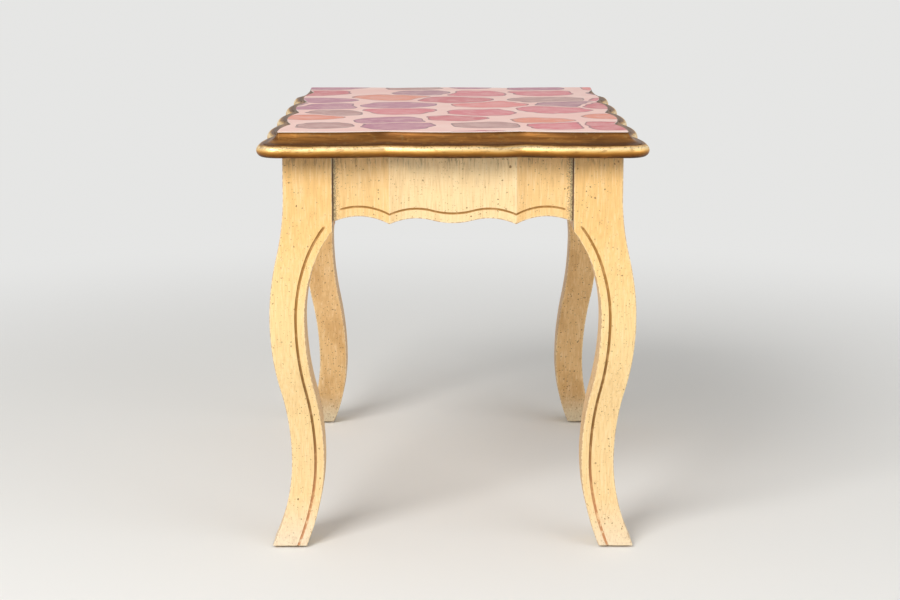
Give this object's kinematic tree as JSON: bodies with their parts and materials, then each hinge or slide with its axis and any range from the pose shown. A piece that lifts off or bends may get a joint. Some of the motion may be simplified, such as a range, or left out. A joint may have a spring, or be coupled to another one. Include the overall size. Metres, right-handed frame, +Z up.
{
  "type": "telephone bench",
  "caption": "Small low bench or side table with a moulded, gilt-edged top on four S-curved cabriole legs joined by scalloped aprons.",
  "frame": {"origin": "on the floor, under the middle of the top", "axes": "+Z up; +Y along the long side of the top, from the end that faces the viewer to the other; +X to the right across the top"},
  "size_m": [0.464, 0.63, 0.508],
  "materials": {
    "painted_wood": "cream-yellow antique paint, satin, with brown fly-specks and rubbed glaze",
    "gilt_edge": "antique gold paint over brown, satin, rubbed bright on the nosing",
    "printed_top": "printed pebble pattern under a gloss coat",
    "bare_wood": "bare hardwood",
    "screw_steel": "zinc-plated steel",
    "glide_steel": "dull nickel-plated steel"
  },
  "bodies": {
    "root": {"front_left_leg": "painted_wood", "front_right_leg": "painted_wood", "rear_left_leg": "painted_wood", "rear_right_leg": "painted_wood", "front_apron": "painted_wood", "rear_apron": "painted_wood", "left_apron": "painted_wood", "right_apron": "painted_wood", "top_board": "gilt_edge", "printed_top_sheet": "printed_top", "front_left_corner_block": "bare_wood", "front_right_corner_block": "bare_wood", "rear_left_corner_block": "bare_wood", "rear_right_corner_block": "bare_wood", "front_apron_dowels": "bare_wood", "rear_apron_dowels": "bare_wood", "left_apron_dowels": "bare_wood", "right_apron_dowels": "bare_wood", "front_left_block_screws": "screw_steel", "front_right_block_screws": "screw_steel", "rear_left_block_screws": "screw_steel", "rear_right_block_screws": "screw_steel", "front_left_glide": "glide_steel", "front_right_glide": "glide_steel", "rear_left_glide": "glide_steel", "rear_right_glide": "glide_steel"}
  },
  "joints": []
}
